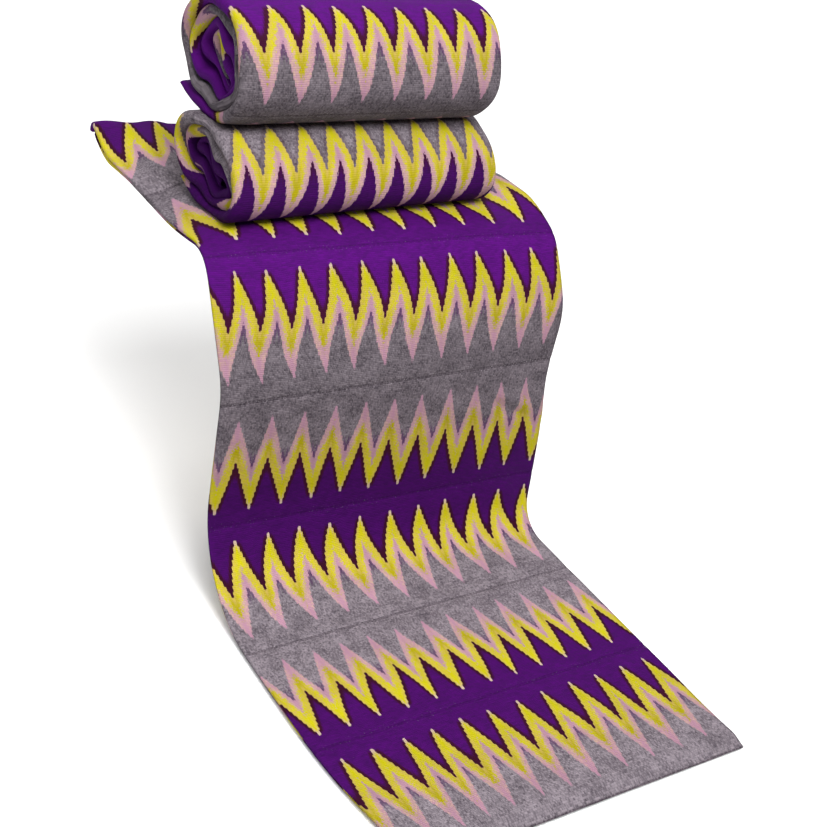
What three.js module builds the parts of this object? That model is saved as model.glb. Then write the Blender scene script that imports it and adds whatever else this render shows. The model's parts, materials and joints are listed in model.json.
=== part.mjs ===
// Folded kente cloth: a runner folded in four that drops over the edge of a plain stand and runs out on the
// floor, with two rolled lengths of the same cloth stacked on it. Millimetres, +Z up, +Y to the back.
import * as THREE from "three";

// Cloth: four layers folded back and forth
const layerCount = 4;
const layerThickness = 1.2;
const layerGap = 0.4;
const layerPitch = layerThickness + layerGap;
const runnerThickness = layerCount * layerThickness + (layerCount - 1) * layerGap;
const runnerWidth = 285;
const foldSteps = 4;

// Places along the runner, measured from the seam at the front edge of the stand
const pieceGap = 0.3;
const standHeight = 244;
const shelfTop = standHeight + pieceGap + runnerThickness;
const floorTop = runnerThickness;
const backEnd = 206;
const frontEnd = -329;
const middleY = (backEnd + frontEnd) / 2;

// Corners of the runner's upper side at its left and right edges, from the back hem to the front hem:
// each is [y, z, radius of the bend there]
const runnerCorners = [
  { place: "back hem", left: [backEnd, 240, 0], right: [backEnd, 240, 0] },
  { place: "back turn", left: [backEnd, 254, 9], right: [backEnd, 254, 9] },
  { place: "lift", left: [150, shelfTop, 120], right: [150, shelfTop, 120] },
  { place: "shelf edge", left: [4, shelfTop, 34], right: [-8, shelfTop, 42] },
  { place: "knee", left: [-48, 166, 60], right: [-41, 188, 70] },
  { place: "foot bend", left: [-52, floorTop, 74], right: [-63, floorTop, 28] },
  { place: "front hem", left: [frontEnd, floorTop, 0], right: [frontEnd, floorTop, 0] },
];
const bendSteps = 9;
const runSteps = 4;

// Rolls: oval windings of a folded band, looser at their sides than where they are pressed
const bandThickness = 5.4;
const rimInset = 1.6;
const rimDepth = 2.6;
const flatSpot = 1.2;
const stepsPerTurn = 36;
const longTailSteps = 4;
const rollSeparation = 306.5;
const lowerRoll = {
  length: 224,
  centre: { x: -10.5, y: 67, z: 278.5 },
  semiY: 49,
  semiZ: 29,
  tilt: THREE.MathUtils.degToRad(11),
  yaw: THREE.MathUtils.degToRad(3.6),
  turns: 3.3,
  ovalTurn: 0.55,
  pitchY: 8.6,
  pitchZ: 7,
  endAngle: THREE.MathUtils.degToRad(300),
  tail: { length: 0, rise: 0 },
  recessLeft: 5,
  recessRight: 3,
  bottom: shelfTop + pieceGap,
  top: rollSeparation - pieceGap / 2,
};
const upperRoll = {
  length: 212,
  centre: { x: -10.8, y: 83, z: 345.4 },
  semiY: 49,
  semiZ: 40,
  tilt: THREE.MathUtils.degToRad(8.8),
  yaw: THREE.MathUtils.degToRad(1.9),
  turns: 4.4,
  ovalTurn: 0.5,
  pitchY: 8.6,
  pitchZ: 7.8,
  endAngle: THREE.MathUtils.degToRad(277),
  tail: { length: 28, rise: 1 },
  recessLeft: 6,
  recessRight: 3,
  bottom: rollSeparation + pieceGap / 2,
  top: 388,
};

// Stand: three plain boards
const boardThickness = 16;
const standTop = { width: 236, front: 11, back: 192, edgeRadius: 14 };
const standFront = { width: 176, front: 6 };
const standRib = { footBack: 112, topBack: 172 };

const finishes = {
  runner: new THREE.MeshStandardMaterial({ color: 0x5a1482, roughness: 0.85, metalness: 0 }),
  upperRoll: new THREE.MeshStandardMaterial({ color: 0x6a1996, roughness: 0.85, metalness: 0 }),
  lowerRoll: new THREE.MeshStandardMaterial({ color: 0x7d737d, roughness: 0.85, metalness: 0 }),
  board: new THREE.MeshStandardMaterial({ color: 0xd9d3c8, roughness: 0.6, metalness: 0 }),
};

// Straight runs joined by arcs, as points with the normal of the upper side, in the (y, z) plane
function filletedPath(corners) {
  const points = corners.map(([y, z]) => new THREE.Vector2(y, z));
  const directions = points.slice(1).map((point, i) => point.clone().sub(points[i]).normalize());
  const path = [];
  const addPoint = (point, direction) => {
    path.push({ point, normal: new THREE.Vector2(direction.y, -direction.x) });
  };
  const addRun = (from, to, direction) => {
    for (let step = 0; step < runSteps; step += 1) {
      addPoint(from.clone().lerp(to, step / runSteps), direction);
    }
  };
  let runStart = points[0];
  for (let i = 1; i < points.length - 1; i += 1) {
    const before = directions[i - 1];
    const after = directions[i];
    const turn = Math.atan2(before.cross(after), before.dot(after));
    const [, , radius] = corners[i];
    const tangentLength = radius * Math.tan(Math.abs(turn) / 2);
    const arcStart = points[i].clone().addScaledVector(before, -tangentLength);
    const inward = new THREE.Vector2(-before.y, before.x).multiplyScalar(Math.sign(turn) * radius);
    const arcCentre = arcStart.clone().add(inward);
    addRun(runStart, arcStart, before);
    const origin = new THREE.Vector2();
    for (let step = 0; step < bendSteps; step += 1) {
      const angle = (turn * step) / bendSteps;
      const spoke = arcStart.clone().sub(arcCentre).rotateAround(origin, angle);
      addPoint(arcCentre.clone().add(spoke), before.clone().rotateAround(origin, angle));
    }
    runStart = points[i].clone().addScaledVector(after, tangentLength);
  }
  const last = directions.at(-1);
  addRun(runStart, points.at(-1), last);
  addPoint(points.at(-1), last);
  return path;
}

// The two sides of a band around a centreline, joined into one closed outline
function bandOutline(centreline, halfThickness) {
  const sides = centreline.map((place, i) => {
    const before = centreline[Math.max(i - 1, 0)];
    const after = centreline[Math.min(i + 1, centreline.length - 1)];
    const tangent = new THREE.Vector2(after.a - before.a, after.b - before.b).normalize();
    const offset = { a: -tangent.y * halfThickness, b: tangent.x * halfThickness };
    return {
      one: { ...place, a: place.a + offset.a, b: place.b + offset.b },
      other: { ...place, a: place.a - offset.a, b: place.b - offset.b },
    };
  });
  return [...sides.map((side) => side.one), ...sides.reverse().map((side) => side.other)];
}

// Back-and-forth section of the folded layers: a is across the runner, b is depth below its upper side
function foldedSection() {
  const foldRadius = layerPitch / 2;
  const foldReach = runnerWidth / 2 - foldRadius - layerThickness / 2;
  const centreline = [{ a: runnerWidth / 2, b: layerThickness / 2 }];
  for (let layer = 0; layer < layerCount - 1; layer += 1) {
    const side = layer % 2 === 0 ? -1 : 1;
    const foldDepth = layerThickness / 2 + (layer + 0.5) * layerPitch;
    for (let step = 0; step <= foldSteps; step += 1) {
      const angle = (Math.PI * step) / foldSteps;
      centreline.push({
        a: side * (foldReach + foldRadius * Math.sin(angle)),
        b: foldDepth - foldRadius * Math.cos(angle),
      });
    }
  }
  centreline.push({ a: runnerWidth / 2, b: layerThickness / 2 + (layerCount - 1) * layerPitch });
  return bandOutline(centreline, layerThickness / 2);
}

// One closed solid through outlines that share their number of points
function closedLoft(stations, flatOutline) {
  const pointCount = flatOutline.length;
  const positions = stations.flatMap((station) => station.flatMap((point) => point.toArray()));
  const triangles = [];
  for (let i = 0; i < stations.length - 1; i += 1) {
    for (let j = 0; j < pointCount; j += 1) {
      const next = (j + 1) % pointCount;
      const near = i * pointCount;
      const far = near + pointCount;
      // The same diagonal on every layer keeps twisted layers apart
      if (flatOutline[next].x > flatOutline[j].x) {
        triangles.push([near + j, near + next, far + next], [near + j, far + next, far + j]);
      } else {
        triangles.push([near + j, near + next, far + j], [near + next, far + next, far + j]);
      }
    }
  }
  const lastStation = (stations.length - 1) * pointCount;
  for (const [a, b, c] of THREE.ShapeUtils.triangulateShape(flatOutline, [])) {
    const forward = THREE.ShapeUtils.isClockWise(flatOutline) ? [a, b, c] : [c, b, a];
    triangles.push(forward, [...forward].reverse().map((index) => index + lastStation));
  }
  const geometry = new THREE.BufferGeometry();
  geometry.setAttribute("position", new THREE.Float32BufferAttribute(positions, 3));
  geometry.setIndex(faceOutwards(triangles, positions).flat());
  geometry.computeVertexNormals();
  return geometry;
}

// Turns every triangle round when the solid they enclose comes out inside out
function faceOutwards(triangles, positions) {
  const corner = (index) => new THREE.Vector3().fromArray(positions, 3 * index);
  const volume = triangles.reduce(
    (sum, [a, b, c]) => sum + corner(a).dot(corner(b).cross(corner(c))) / 6,
    0,
  );
  return volume > 0 ? triangles : triangles.map((triangle) => [...triangle].reverse());
}

// The runner: the folded section carried along its left and right edges at once
function buildRunner() {
  const section = foldedSection();
  const leftPath = filletedPath(runnerCorners.map((corner) => corner.left));
  const rightPath = filletedPath(runnerCorners.map((corner) => corner.right));
  const stations = leftPath.map((left, i) => {
    const right = rightPath[i];
    return section.map(({ a, b }) => {
      const across = a / runnerWidth + 0.5;
      const point = left.point.clone().lerp(right.point, across);
      const normal = left.normal.clone().lerp(right.normal, across).normalize();
      point.addScaledVector(normal, -b);
      return new THREE.Vector3(a, point.x - middleY, point.y);
    });
  });
  const flatOutline = section.map(({ a, b }) => new THREE.Vector2(a, b));
  return new THREE.Mesh(closedLoft(stations, flatOutline), finishes.runner);
}

// Centreline of a roll's band from its loose end to its core, about the roll's middle
function woundCentreline(roll) {
  const outerY = roll.semiY - bandThickness / 2;
  const outerZ = roll.semiZ - bandThickness / 2;
  const tiltCos = Math.cos(roll.tilt);
  const tiltSin = Math.sin(roll.tilt);
  const wound = [];
  const stepCount = Math.round(roll.turns * stepsPerTurn);
  for (let step = 0; step <= stepCount; step += 1) {
    const turn = step / stepsPerTurn;
    const angle = roll.endAngle - 2 * Math.PI * turn;
    const reachY = (outerY + roll.pitchY * (roll.ovalTurn - turn)) * Math.cos(angle);
    const reachZ = (outerZ + roll.pitchZ * (roll.ovalTurn - turn)) * Math.sin(angle);
    wound.push({ a: reachY * tiltCos - reachZ * tiltSin, b: reachY * tiltSin + reachZ * tiltCos, turn });
  }
  const tailSteps = roll.tail.length > 0 ? longTailSteps : 0;
  const tail = [];
  for (let step = tailSteps; step > 0; step -= 1) {
    const share = step / tailSteps;
    const lift = roll.tail.rise * share ** 2;
    tail.push({ a: wound[0].a + roll.tail.length * share, b: wound[0].b + lift, turn: 0 });
  }
  return [...tail, ...wound];
}

// Presses a roll between what lies under and over it, with a small flat spot where it touches
function pressedHeight(roll, outline) {
  const heights = outline.map(({ b }) => b);
  const lowest = roll.bottom - roll.centre.z;
  const highest = roll.top - roll.centre.z;
  const lowerScale = (lowest - flatSpot) / Math.min(...heights);
  const upperScale = (highest + flatSpot) / Math.max(...heights);
  return (b) => THREE.MathUtils.clamp(b * (b < 0 ? lowerScale : upperScale), lowest, highest);
}

// A roll: its wound band carried along its axis, with soft rims and the inner turns drawn in
function buildRoll(roll) {
  const centreline = woundCentreline(roll);
  const fullHalf = bandThickness / 2;
  const rimHalf = fullHalf - rimInset;
  const halfLength = roll.length / 2;
  const places = [
    { end: -1, inset: 0, half: rimHalf },
    { end: -1, inset: rimDepth, half: fullHalf },
    { end: 1, inset: rimDepth, half: fullHalf },
    { end: 1, inset: 0, half: rimHalf },
  ];
  const fullOutline = bandOutline(centreline, fullHalf);
  const pressed = pressedHeight(roll, fullOutline);
  const stations = places.map(({ end, inset, half }) => {
    const recess = end < 0 ? roll.recessLeft : roll.recessRight;
    return bandOutline(centreline, half).map(({ a, b, turn }) => {
      const x = end * (halfLength - inset - recess * turn);
      return new THREE.Vector3(x, a, pressed(b));
    });
  });
  const flatOutline = fullOutline.map(({ a, b }) => new THREE.Vector2(a, pressed(b)));
  const mesh = new THREE.Mesh(closedLoft(stations, flatOutline));
  mesh.position.set(roll.centre.x, roll.centre.y - middleY, roll.centre.z);
  mesh.rotation.z = roll.yaw;
  return mesh;
}

// A board cut from an outline in the (y, z) plane, centred across the stand
function buildBoard(shape, width) {
  const geometry = new THREE.ExtrudeGeometry(shape, { depth: width, bevelEnabled: false, curveSegments: 6 });
  const acrossAxes = new THREE.Matrix4().makeBasis(
    new THREE.Vector3(0, 1, 0),
    new THREE.Vector3(0, 0, 1),
    new THREE.Vector3(1, 0, 0),
  );
  geometry.applyMatrix4(acrossAxes);
  geometry.translate(-width / 2, -middleY, 0);
  return new THREE.Mesh(geometry, finishes.board);
}

function buildStandTop() {
  const { width, front, back, edgeRadius } = standTop;
  const bottom = standHeight - boardThickness;
  const shape = new THREE.Shape();
  shape.moveTo(back, bottom);
  shape.lineTo(back, standHeight - edgeRadius);
  shape.absarc(back - edgeRadius, standHeight - edgeRadius, edgeRadius, 0, Math.PI / 2, false);
  shape.lineTo(front + edgeRadius, standHeight);
  shape.absarc(front + edgeRadius, standHeight - edgeRadius, edgeRadius, Math.PI / 2, Math.PI, false);
  shape.lineTo(front, bottom);
  shape.closePath();
  return buildBoard(shape, width);
}

function buildStandFront() {
  const { width, front } = standFront;
  const shape = new THREE.Shape();
  const top = standHeight - boardThickness - pieceGap;
  shape.moveTo(front, 0);
  shape.lineTo(front + boardThickness, 0);
  shape.lineTo(front + boardThickness, top);
  shape.lineTo(front, top);
  shape.closePath();
  return buildBoard(shape, width);
}

function buildStandRib() {
  const front = standFront.front + boardThickness + pieceGap;
  const top = standHeight - boardThickness - pieceGap;
  const shape = new THREE.Shape();
  shape.moveTo(front, 0);
  shape.lineTo(standRib.footBack, 0);
  shape.lineTo(standRib.topBack, top);
  shape.lineTo(front, top);
  shape.closePath();
  return buildBoard(shape, boardThickness);
}

function named(mesh, name) {
  mesh.name = name;
  return mesh;
}

const lowerRollMesh = named(buildRoll(lowerRoll), "lower_roll");
lowerRollMesh.material = finishes.lowerRoll;
const upperRollMesh = named(buildRoll(upperRoll), "upper_roll");
upperRollMesh.material = finishes.upperRoll;

const kenteCloth = new THREE.Group();
kenteCloth.add(
  named(buildRunner(), "runner"),
  lowerRollMesh,
  upperRollMesh,
  named(buildStandTop(), "stand_top"),
  named(buildStandFront(), "stand_front"),
  named(buildStandRib(), "stand_rib"),
);

export default kenteCloth;
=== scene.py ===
"""Folded kente cloth: a runner folded in four over a plain stand, and two rolled lengths stacked on it.

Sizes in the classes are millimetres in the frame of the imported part: +Z up, +Y to the back.
"""

from __future__ import annotations

import json
import logging
import math
from dataclasses import dataclass
from enum import Enum

import bmesh
import bpy
import numpy as np
from mathutils import Matrix, Vector

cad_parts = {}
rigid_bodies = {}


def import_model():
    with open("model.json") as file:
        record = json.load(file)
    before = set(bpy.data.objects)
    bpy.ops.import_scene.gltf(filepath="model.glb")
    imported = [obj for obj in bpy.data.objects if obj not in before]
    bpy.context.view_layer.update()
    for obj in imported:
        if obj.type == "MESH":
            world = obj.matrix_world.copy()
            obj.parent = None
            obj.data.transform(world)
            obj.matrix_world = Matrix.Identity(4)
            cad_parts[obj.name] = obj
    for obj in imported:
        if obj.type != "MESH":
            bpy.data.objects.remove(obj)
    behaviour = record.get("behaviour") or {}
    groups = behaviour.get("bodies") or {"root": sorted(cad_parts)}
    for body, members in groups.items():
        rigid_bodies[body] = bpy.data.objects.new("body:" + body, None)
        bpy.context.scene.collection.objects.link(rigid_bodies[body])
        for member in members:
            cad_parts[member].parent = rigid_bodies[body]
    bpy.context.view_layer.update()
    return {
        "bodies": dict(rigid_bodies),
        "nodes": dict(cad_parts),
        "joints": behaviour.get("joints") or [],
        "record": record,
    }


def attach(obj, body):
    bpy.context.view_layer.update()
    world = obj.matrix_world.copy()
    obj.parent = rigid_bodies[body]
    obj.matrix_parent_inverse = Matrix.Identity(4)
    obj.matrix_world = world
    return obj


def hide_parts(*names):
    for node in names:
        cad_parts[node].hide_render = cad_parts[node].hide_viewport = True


log = logging.getLogger("kente")

MM = 0.001
WEAVE_MAP = "weave"
# Name of the per-strip factors that paint light and shade into the purple, the grey and the zigzag
PAINTED_SHADING = "painted_shading"

# Middle of the part's box along Y, counted from the front edge of the stand like the places of the cloth
MIDDLE_Y = -61.5

# Corners of each face of a sheet
QUAD_CORNERS = 4

# Gap between the cloth and the floor, as a share of the cloth's thickness
FLOOR_CLEARANCE = 0.02

# Number of a cloth's first seam in the weave map, which is even and above zero
FIRST_SEAM = 4.0

# Shares of a strip from its purple seam: the valleys of the yellow band, and the end of the zigzag
VALLEY_AT = 0.518
PLAIN_FROM = 0.86

# Shares of a strip: where the teeth of a flame sway most, and how far on they do so again
SWAY_CREST = 0.38
SWAY_PERIOD = 0.7

Colour = tuple[float, float, float, float]
BandEdge = tuple[float, float, float]
Place = tuple[float, float, float]
Socket = bpy.types.NodeSocket


def srgb(*levels: int) -> Colour:
    """Turns red, green and blue as seen on a screen, from 0 to 255, into a shader's linear colour.

    Args:
        levels: Red, green and blue.

    Returns:
        The linear colour with full alpha.
    """
    shares = [level / 255.0 for level in levels]
    linear = [share / 12.92 if share <= 0.04045 else ((share + 0.055) / 1.055) ** 2.4 for share in shares]
    return (*linear, 1.0)


def ease(share: np.ndarray) -> np.ndarray:
    """Gives a soft step from 0 to 1 for shares that run from 0 to 1."""
    held = np.clip(share, 0.0, 1.0)
    return held * held * (3.0 - 2.0 * held)


def bell(away: np.ndarray, half_width: float) -> np.ndarray:
    """Gives a soft mound, 1 in its middle, at distances from there."""
    return np.exp(-((away / half_width) ** 2))


def walk_lengths(line: np.ndarray) -> np.ndarray:
    """Gives the distance walked along a line to each of its points."""
    return np.concatenate([[0.0], np.cumsum(np.hypot(*np.diff(line, axis=0).T))])


def directions(line: np.ndarray, walked: np.ndarray) -> np.ndarray:
    """Gives the direction of a line at each of its points."""
    tangents = np.gradient(line, walked, axis=0)
    return tangents / np.hypot(*tangents.T)[:, None]


def pairs_at(distance: np.ndarray, walked: np.ndarray, pairs: np.ndarray) -> np.ndarray:
    """Reads pairs of values, known where a line was walked, at other distances along it."""
    return np.stack([np.interp(distance, walked, pairs[:, i]) for i in range(2)], axis=-1)


def add_object(name: str, data: bpy.types.ID) -> bpy.types.Object:
    """Puts a mesh, a light or a camera into the scene.

    Args:
        name: Name of the object.
        data: What it holds.

    Returns:
        The object.
    """
    made = bpy.data.objects.new(name, data)
    bpy.context.collection.objects.link(made)
    return made


class ClothFace(Enum):
    """Which face of the cloth is turned out: the reverse has its two plain colours changed over."""

    FRONT = "front"
    REVERSE = "reverse"


class Side(Enum):
    """A side edge of the cloth, with its direction along X."""

    LEFT = -1
    RIGHT = 1


@dataclass(frozen=True)
class Strip:
    """One woven strip of the cloth.

    Its width runs along the cloth. A peak of its zigzag lies at first_peak from the left edge, and the peaks
    are a tooth apart. They shift by lean from one seam to the next and bend by sway, as a flame does. Margin
    is the plain cloth before the last seam, for a strip with more of it than usual, and knee is where the
    yellow band then has its valleys, if not in the usual share of the zigzag. Its painted shading is painted
    light and shade: factors that make its purple, its grey and its zigzag lighter or darker for how light
    falls there.
    """

    width: float
    first_peak: float
    tooth: float = 24.4
    lean: float = 0.0
    sway: float = 0.0
    margin: float = 0.0
    knee: float = 0.0
    # Painted light and shade: factors for the purple, the grey and the zigzag
    painted_shading: tuple[float, float, float] = (1.0, 1.0, 1.0)

    def part(self, walked: np.ndarray) -> np.ndarray:
        """Finds how far the zigzag has come in the strip.

        Args:
            walked: Distances from the strip's first seam.

        Returns:
            The share of a strip without a margin that the zigzag has reached there.
        """
        if self.margin == 0.0:
            return walked / self.width
        zigzag = self.width - self.margin
        knee = self.knee or zigzag * VALLEY_AT / PLAIN_FROM
        return np.interp(walked, [0.0, knee, zigzag, self.width], [0.0, VALLEY_AT, PLAIN_FROM, 1.0])


@dataclass(frozen=True)
class StripChart:
    """The strips of one cloth in their order, from the seam at first_seam along it.

    The seams lie in the first plain colour and in the second by turns, and the first seam in the first.
    """

    first_seam: float
    strips: tuple[Strip, ...]

    def seams(self) -> np.ndarray:
        """Gives the places of the seams along the cloth."""
        widths = [strip.width for strip in self.strips]
        return self.first_seam + np.concatenate([[0.0], np.cumsum(widths)])

    def stops(self, length: float, spacing: float) -> np.ndarray:
        """Divides the cloth along its length so that each seam falls on a division.

        Args:
            length: Length of the cloth.
            spacing: Longest division.

        Returns:
            The divisions from 0 to the length.
        """
        inside = [seam for seam in self.seams() if spacing / 2 < seam < length - spacing / 2]
        ends = [0.0, *inside, length]
        runs = []
        for start, end in zip(ends[:-1], ends[1:]):
            count = max(1, math.ceil((end - start) / spacing))
            runs.append(np.linspace(start, end, count, endpoint=False))
        return np.concatenate([*runs, [length]])

    def strip_at(self, along: np.ndarray) -> np.ndarray:
        """Gives the number of the strip at distances along the cloth."""
        return np.clip(np.searchsorted(self.seams(), along) - 1, 0, len(self.strips) - 1)

    def place(
        self, across: np.ndarray, along: np.ndarray, middle: np.ndarray
    ) -> tuple[np.ndarray, np.ndarray]:
        """Finds where points of the flat cloth lie in the zigzag.

        Args:
            across: Distance of each point from the left edge.
            along: Distance of each point along the cloth.
            middle: Distance along the cloth of the middle of the face that the point is a corner of.

        Returns:
            The teeth across and the strips along at each point. A seam in the first plain colour is even.
        """
        index = self.strip_at(middle)
        walked = along - self.seams()[index]
        part = np.choose(index, [strip.part(walked) for strip in self.strips])
        strips_along = FIRST_SEAM + index + part
        from_first = np.abs(np.mod(strips_along + 1.0, 2.0) - 1.0)
        bend = np.cos(2.0 * math.pi * (from_first - SWAY_CREST) / SWAY_PERIOD)
        each = np.array([(strip.first_peak, strip.lean, strip.sway, strip.tooth) for strip in self.strips])
        first_peak, lean, sway, tooth = each[index].T
        peaks = first_peak + lean * (part - 0.5) + sway * bend
        return (across - peaks) / tooth, strips_along


class SectionWalk:
    """A walk across a folded cloth, column by column: straight runs and round folds."""

    def __init__(self, across: float, depth: float) -> None:
        """Starts the walk at one edge of the cloth."""
        self.across = [across]
        self.depth = [depth]

    def run(self, end: float, columns: int) -> None:
        """Goes straight across to a place, in a number of columns."""
        self.across.extend(np.linspace(self.across[-1], end, columns + 1)[1:])
        self.depth.extend([self.depth[-1]] * columns)

    def fold(self, side: Side, sink: float, columns: int) -> None:
        """Goes half round a fold.

        Args:
            side: The side to which the fold bulges.
            sink: How much deeper the cloth lies after the fold.
            columns: Columns of the fold.
        """
        reach = self.across[-1]
        level = self.depth[-1]
        for step in range(1, columns + 1):
            angle = math.pi * step / columns
            self.across.append(reach + side.value * abs(sink) / 2 * math.sin(angle))
            self.depth.append(level + sink / 2 * (1.0 - math.cos(angle)))

    def stops(self, left_fold: int) -> tuple[np.ndarray, np.ndarray, np.ndarray]:
        """Ends the walk.

        Args:
            left_fold: Column in the middle of the left fold.

        Returns:
            For each column: its place across, its depth under the upper side, and its distance on the flat
            cloth from the left fold.
        """
        section = np.stack([self.across, self.depth], axis=1)
        walked = walk_lengths(section)
        return section[:, 0], section[:, 1], walked[left_fold] - walked


@dataclass(frozen=True)
class FourFold:
    """A cloth folded back and forth across its length.

    A fold is held in from the full width by its inset: the first left fold, the right fold, the second left
    fold, and last the loose edge under them.
    """

    width: float
    cloth: float = 1.15
    gap: float = 0.4
    insets: tuple[float, float, float, float] = (0.0, 1.8, 1.2, 0.6)
    top_columns: int = 96
    inner_columns: int = 6
    fold_columns: int = 8

    @property
    def thickness(self) -> float:
        """Thickness of the folded cloth."""
        layers = len(self.insets)
        return layers * self.cloth + (layers - 1) * self.gap

    def stops(self) -> tuple[np.ndarray, np.ndarray, np.ndarray]:
        """Walks over the folded cloth from its right edge on top to its loose edge underneath.

        Returns:
            The stops of the walk.
        """
        pitch = self.cloth + self.gap
        half = self.width / 2
        last = len(self.insets) - 1
        walk = SectionWalk(half, self.cloth / 2)
        for layer, inset in enumerate(self.insets):
            side = Side.RIGHT if layer % 2 else Side.LEFT
            bend = 0.0 if layer == last else (pitch + self.cloth) / 2
            walk.run(side.value * (half - inset - bend), self.inner_columns if layer else self.top_columns)
            if layer < last:
                walk.fold(side, pitch, self.fold_columns)
        return walk.stops(self.top_columns + self.fold_columns // 2)


@dataclass(frozen=True)
class Sleeve:
    """A cloth folded in from both sides, so that its two edges meet under it and both rims are round."""

    width: float
    cloth: float = 1.5
    gap: float = 5.2
    top_columns: int = 44
    inner_columns: int = 4
    fold_columns: int = 10

    @property
    def thickness(self) -> float:
        """Thickness of the folded cloth."""
        return 2 * self.cloth + self.gap

    def stops(self) -> tuple[np.ndarray, np.ndarray, np.ndarray]:
        """Walks round the sleeve from the middle of its under side, over the top and back.

        Returns:
            The stops of the walk.
        """
        pitch = self.cloth + self.gap
        reach = (self.width - pitch - self.cloth) / 2
        split = self.gap / 4
        walk = SectionWalk(split, self.cloth / 2 + pitch)
        walk.run(reach, self.inner_columns)
        walk.fold(Side.RIGHT, -pitch, self.fold_columns)
        walk.run(-reach, self.top_columns)
        walk.fold(Side.LEFT, pitch, self.fold_columns)
        walk.run(-split, self.inner_columns)
        return walk.stops(self.inner_columns + self.fold_columns + self.top_columns + self.fold_columns // 2)


class FoldedCloth:
    """A flat sheet that is laid on its folds: a grid whose rows run along the cloth."""

    def __init__(
        self, name: str, section: FourFold | Sleeve, chart: StripChart, length: float, spacing: float
    ) -> None:
        """Divides the cloth into columns and rows.

        Args:
            name: Name of the piece.
            section: The folds across the cloth.
            chart: The strips along the cloth.
            length: Length of the cloth.
            spacing: Longest distance between two rows.
        """
        self.name = name
        self.section = section
        self.chart = chart
        self.across, self.depth, self.flat = section.stops()
        self.rows = chart.stops(length, spacing)

    def flat_size(self) -> tuple[float, float]:
        """Gives the width and length of the cloth before it was folded, in metres."""
        return (float(np.ptp(self.flat)) * MM, float(np.ptp(self.rows)) * MM)

    def build(self, laid: np.ndarray) -> bpy.types.Object:
        """Makes the sheet and moves its points on to the folds.

        Args:
            laid: A point for each row and column, in millimetres.

        Returns:
            The finished sheet with its weave map and thickness.
        """
        columns = len(self.across)
        rows = len(self.rows)
        bm = bmesh.new()
        bmesh.ops.create_grid(bm, x_segments=columns - 1, y_segments=rows - 1, size=1.0)
        mesh = bpy.data.meshes.new(self.name)
        bm.to_mesh(mesh)
        bm.free()
        flat = np.empty(len(mesh.vertices) * 3)
        mesh.vertices.foreach_get("co", flat)
        flat = flat.reshape(-1, 3)
        column = np.rint((flat[:, 0] + 1.0) / 2.0 * (columns - 1)).astype(int)
        row = np.rint((flat[:, 1] + 1.0) / 2.0 * (rows - 1)).astype(int)
        mesh.vertices.foreach_set("co", (laid[row, column] * MM).ravel())
        self.map_weave(mesh, column, row)
        mesh.polygons.foreach_set("use_smooth", np.ones(len(mesh.polygons), dtype=bool))
        mesh.update()
        piece = add_object(self.name, mesh)
        thickness = piece.modifiers.new("thickness", "SOLIDIFY")
        thickness.thickness = self.section.cloth * MM
        thickness.offset = 0.0
        return piece

    def map_weave(self, mesh: bpy.types.Mesh, column: np.ndarray, row: np.ndarray) -> None:
        """Gives each corner of each face its place in the zigzag and the painted light and shade of its
        strip.

        Args:
            mesh: The sheet.
            column: Column of each vertex.
            row: Row of each vertex.
        """
        corners = np.empty(len(mesh.loops), dtype=int)
        mesh.loops.foreach_get("vertex_index", corners)
        along = self.rows[row[corners]]
        middle = np.repeat(along.reshape(-1, QUAD_CORNERS).mean(axis=1), QUAD_CORNERS)
        teeth, strips = self.chart.place(self.flat[column[corners]], along, middle)
        weave = mesh.uv_layers.new(name=WEAVE_MAP)
        weave.data.foreach_set("uv", np.stack([teeth, strips], axis=1).ravel())
        # Painted light and shade of each strip, as factors for its purple, grey and zigzag
        strip_shading = np.array([strip.painted_shading for strip in self.chart.strips])
        painted_shading = mesh.attributes.new(name=PAINTED_SHADING, type="FLOAT_VECTOR", domain="CORNER")
        painted_shading.data.foreach_set("vector", strip_shading[self.chart.strip_at(middle)].ravel())


@dataclass(frozen=True)
class Corner:
    """A corner of the runner's upper side: its place and the radius of the bend there."""

    y: float
    z: float
    radius: float


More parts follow.
